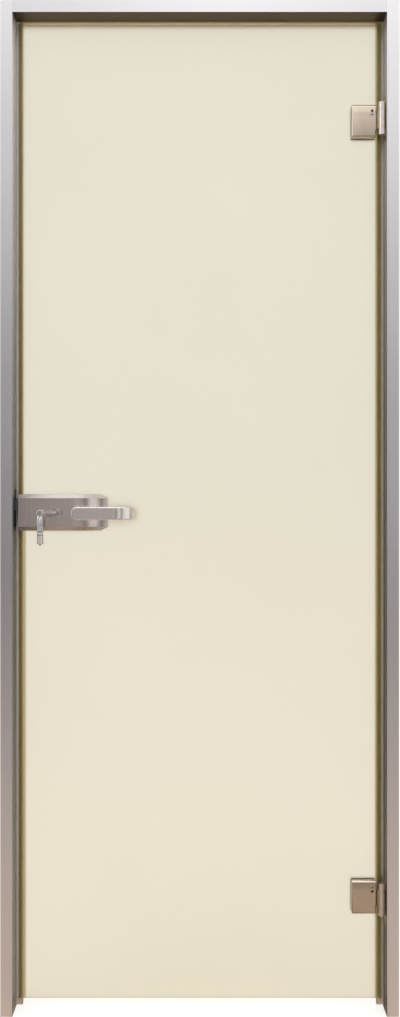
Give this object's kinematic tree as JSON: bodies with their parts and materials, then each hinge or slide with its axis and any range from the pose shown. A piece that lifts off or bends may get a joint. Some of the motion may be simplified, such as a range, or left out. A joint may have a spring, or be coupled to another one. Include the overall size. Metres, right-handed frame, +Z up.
{
  "type": "glass door",
  "caption": "Satin glass door leaf hung in a slim aluminium frame, with clamp hinges, lever handles and a key-operated lock.",
  "frame": {"origin": "on the floor, midway across the frame, in the middle of the glass thickness", "axes": "+X across the opening towards the hinges, +Y from the opening side to the back, +Z up"},
  "size_m": [0.8, 0.124, 2.04],
  "materials": {
    "frame_aluminium": "satin anodised",
    "block_metal": "sawn",
    "screw_steel": "bright",
    "seal_rubber": "matte pale",
    "strike_steel": "brushed",
    "dark_plastic": "matte",
    "hinge_metal": "satin",
    "pin_steel": "ground",
    "bush_brass": "turned",
    "cover_metal": "satin",
    "gasket_rubber": "matte",
    "satin_glass": "satin etched",
    "case_steel": "brushed",
    "lever_steel": "satin",
    "bolt_steel": "ground",
    "cylinder_nickel": "nickel plated",
    "key_metal": "nickel plated",
    "ring_steel": "bright wire"
  },
  "bodies": {
    "frame": {"latch_jamb": "frame_aluminium", "hinge_jamb": "frame_aluminium", "head_rail": "frame_aluminium", "corner_blocks": "block_metal", "corner_screws": "screw_steel", "latch_seal": "seal_rubber", "hinge_seal": "seal_rubber", "head_seal": "seal_rubber", "strike_plate": "strike_steel", "strike_box": "dark_plastic", "strike_screws": "screw_steel", "upper_frame_hinge": "hinge_metal", "lower_frame_hinge": "hinge_metal", "hinge_pins": "pin_steel", "hinge_plate_screws": "screw_steel"},
    "leaf": {"glass_pane": "satin_glass", "upper_hinge_leaf": "hinge_metal", "lower_hinge_leaf": "hinge_metal", "hinge_bushes": "bush_brass", "upper_hinge_cover": "cover_metal", "lower_hinge_cover": "cover_metal", "upper_back_clamp": "cover_metal", "lower_back_clamp": "cover_metal", "clamp_gaskets": "gasket_rubber", "clamp_screws": "screw_steel", "cover_screws": "screw_steel", "front_lock_case": "case_steel", "back_lock_case": "case_steel", "lock_faceplate": "case_steel", "lock_gaskets": "gasket_rubber", "lock_screws": "screw_steel", "handle_bushes": "dark_plastic", "cylinder_body": "cylinder_nickel"},
    "handle": {"outer_lever": "lever_steel", "inner_lever": "lever_steel", "spindle": "pin_steel", "follower_hub": "pin_steel", "lever_screws": "screw_steel"},
    "latch": {"latch_bolt": "bolt_steel"},
    "deadbolt": {"dead_bolt": "bolt_steel"},
    "key_set": {"cylinder_plugs": "cylinder_nickel", "cylinder_cam": "pin_steel", "key": "key_metal", "key_ring": "ring_steel", "spare_keys": "key_metal"}
  },
  "joints": [
    {"name": "door_swing", "type": "hinge", "parent": "frame", "child": "leaf", "pos_m": [0.369, -0.027, 1.02], "axis": [0, 0, 1], "range_deg": [0, 100]},
    {"name": "lever_turn", "type": "hinge", "parent": "leaf", "child": "handle", "pos_m": [-0.242, 0, 1.012], "axis": [0, 1, 0], "range_deg": [0, 40], "stiffness_Nm_per_rad": 1.5, "springref_deg": -28.65},
    {"name": "latch_slide", "type": "slide", "parent": "leaf", "child": "latch", "axis": [1, 0, 0], "range_m": [0, 0.0135]},
    {"name": "key_turn", "type": "hinge", "parent": "leaf", "child": "key_set", "pos_m": [-0.30275, 0, 1.012], "axis": [0, 1, 0], "range_deg": [0, 180]},
    {"name": "bolt_slide", "type": "slide", "parent": "leaf", "child": "deadbolt", "axis": [-1, 0, 0], "range_m": [0, 0.0205]}
  ],
  "couplings": [
    {"joint": "latch_slide", "follows": "lever_turn", "m_per_rad": 0.0186},
    {"joint": "bolt_slide", "follows": "key_turn", "m_per_rad": 0.00636}
  ]
}
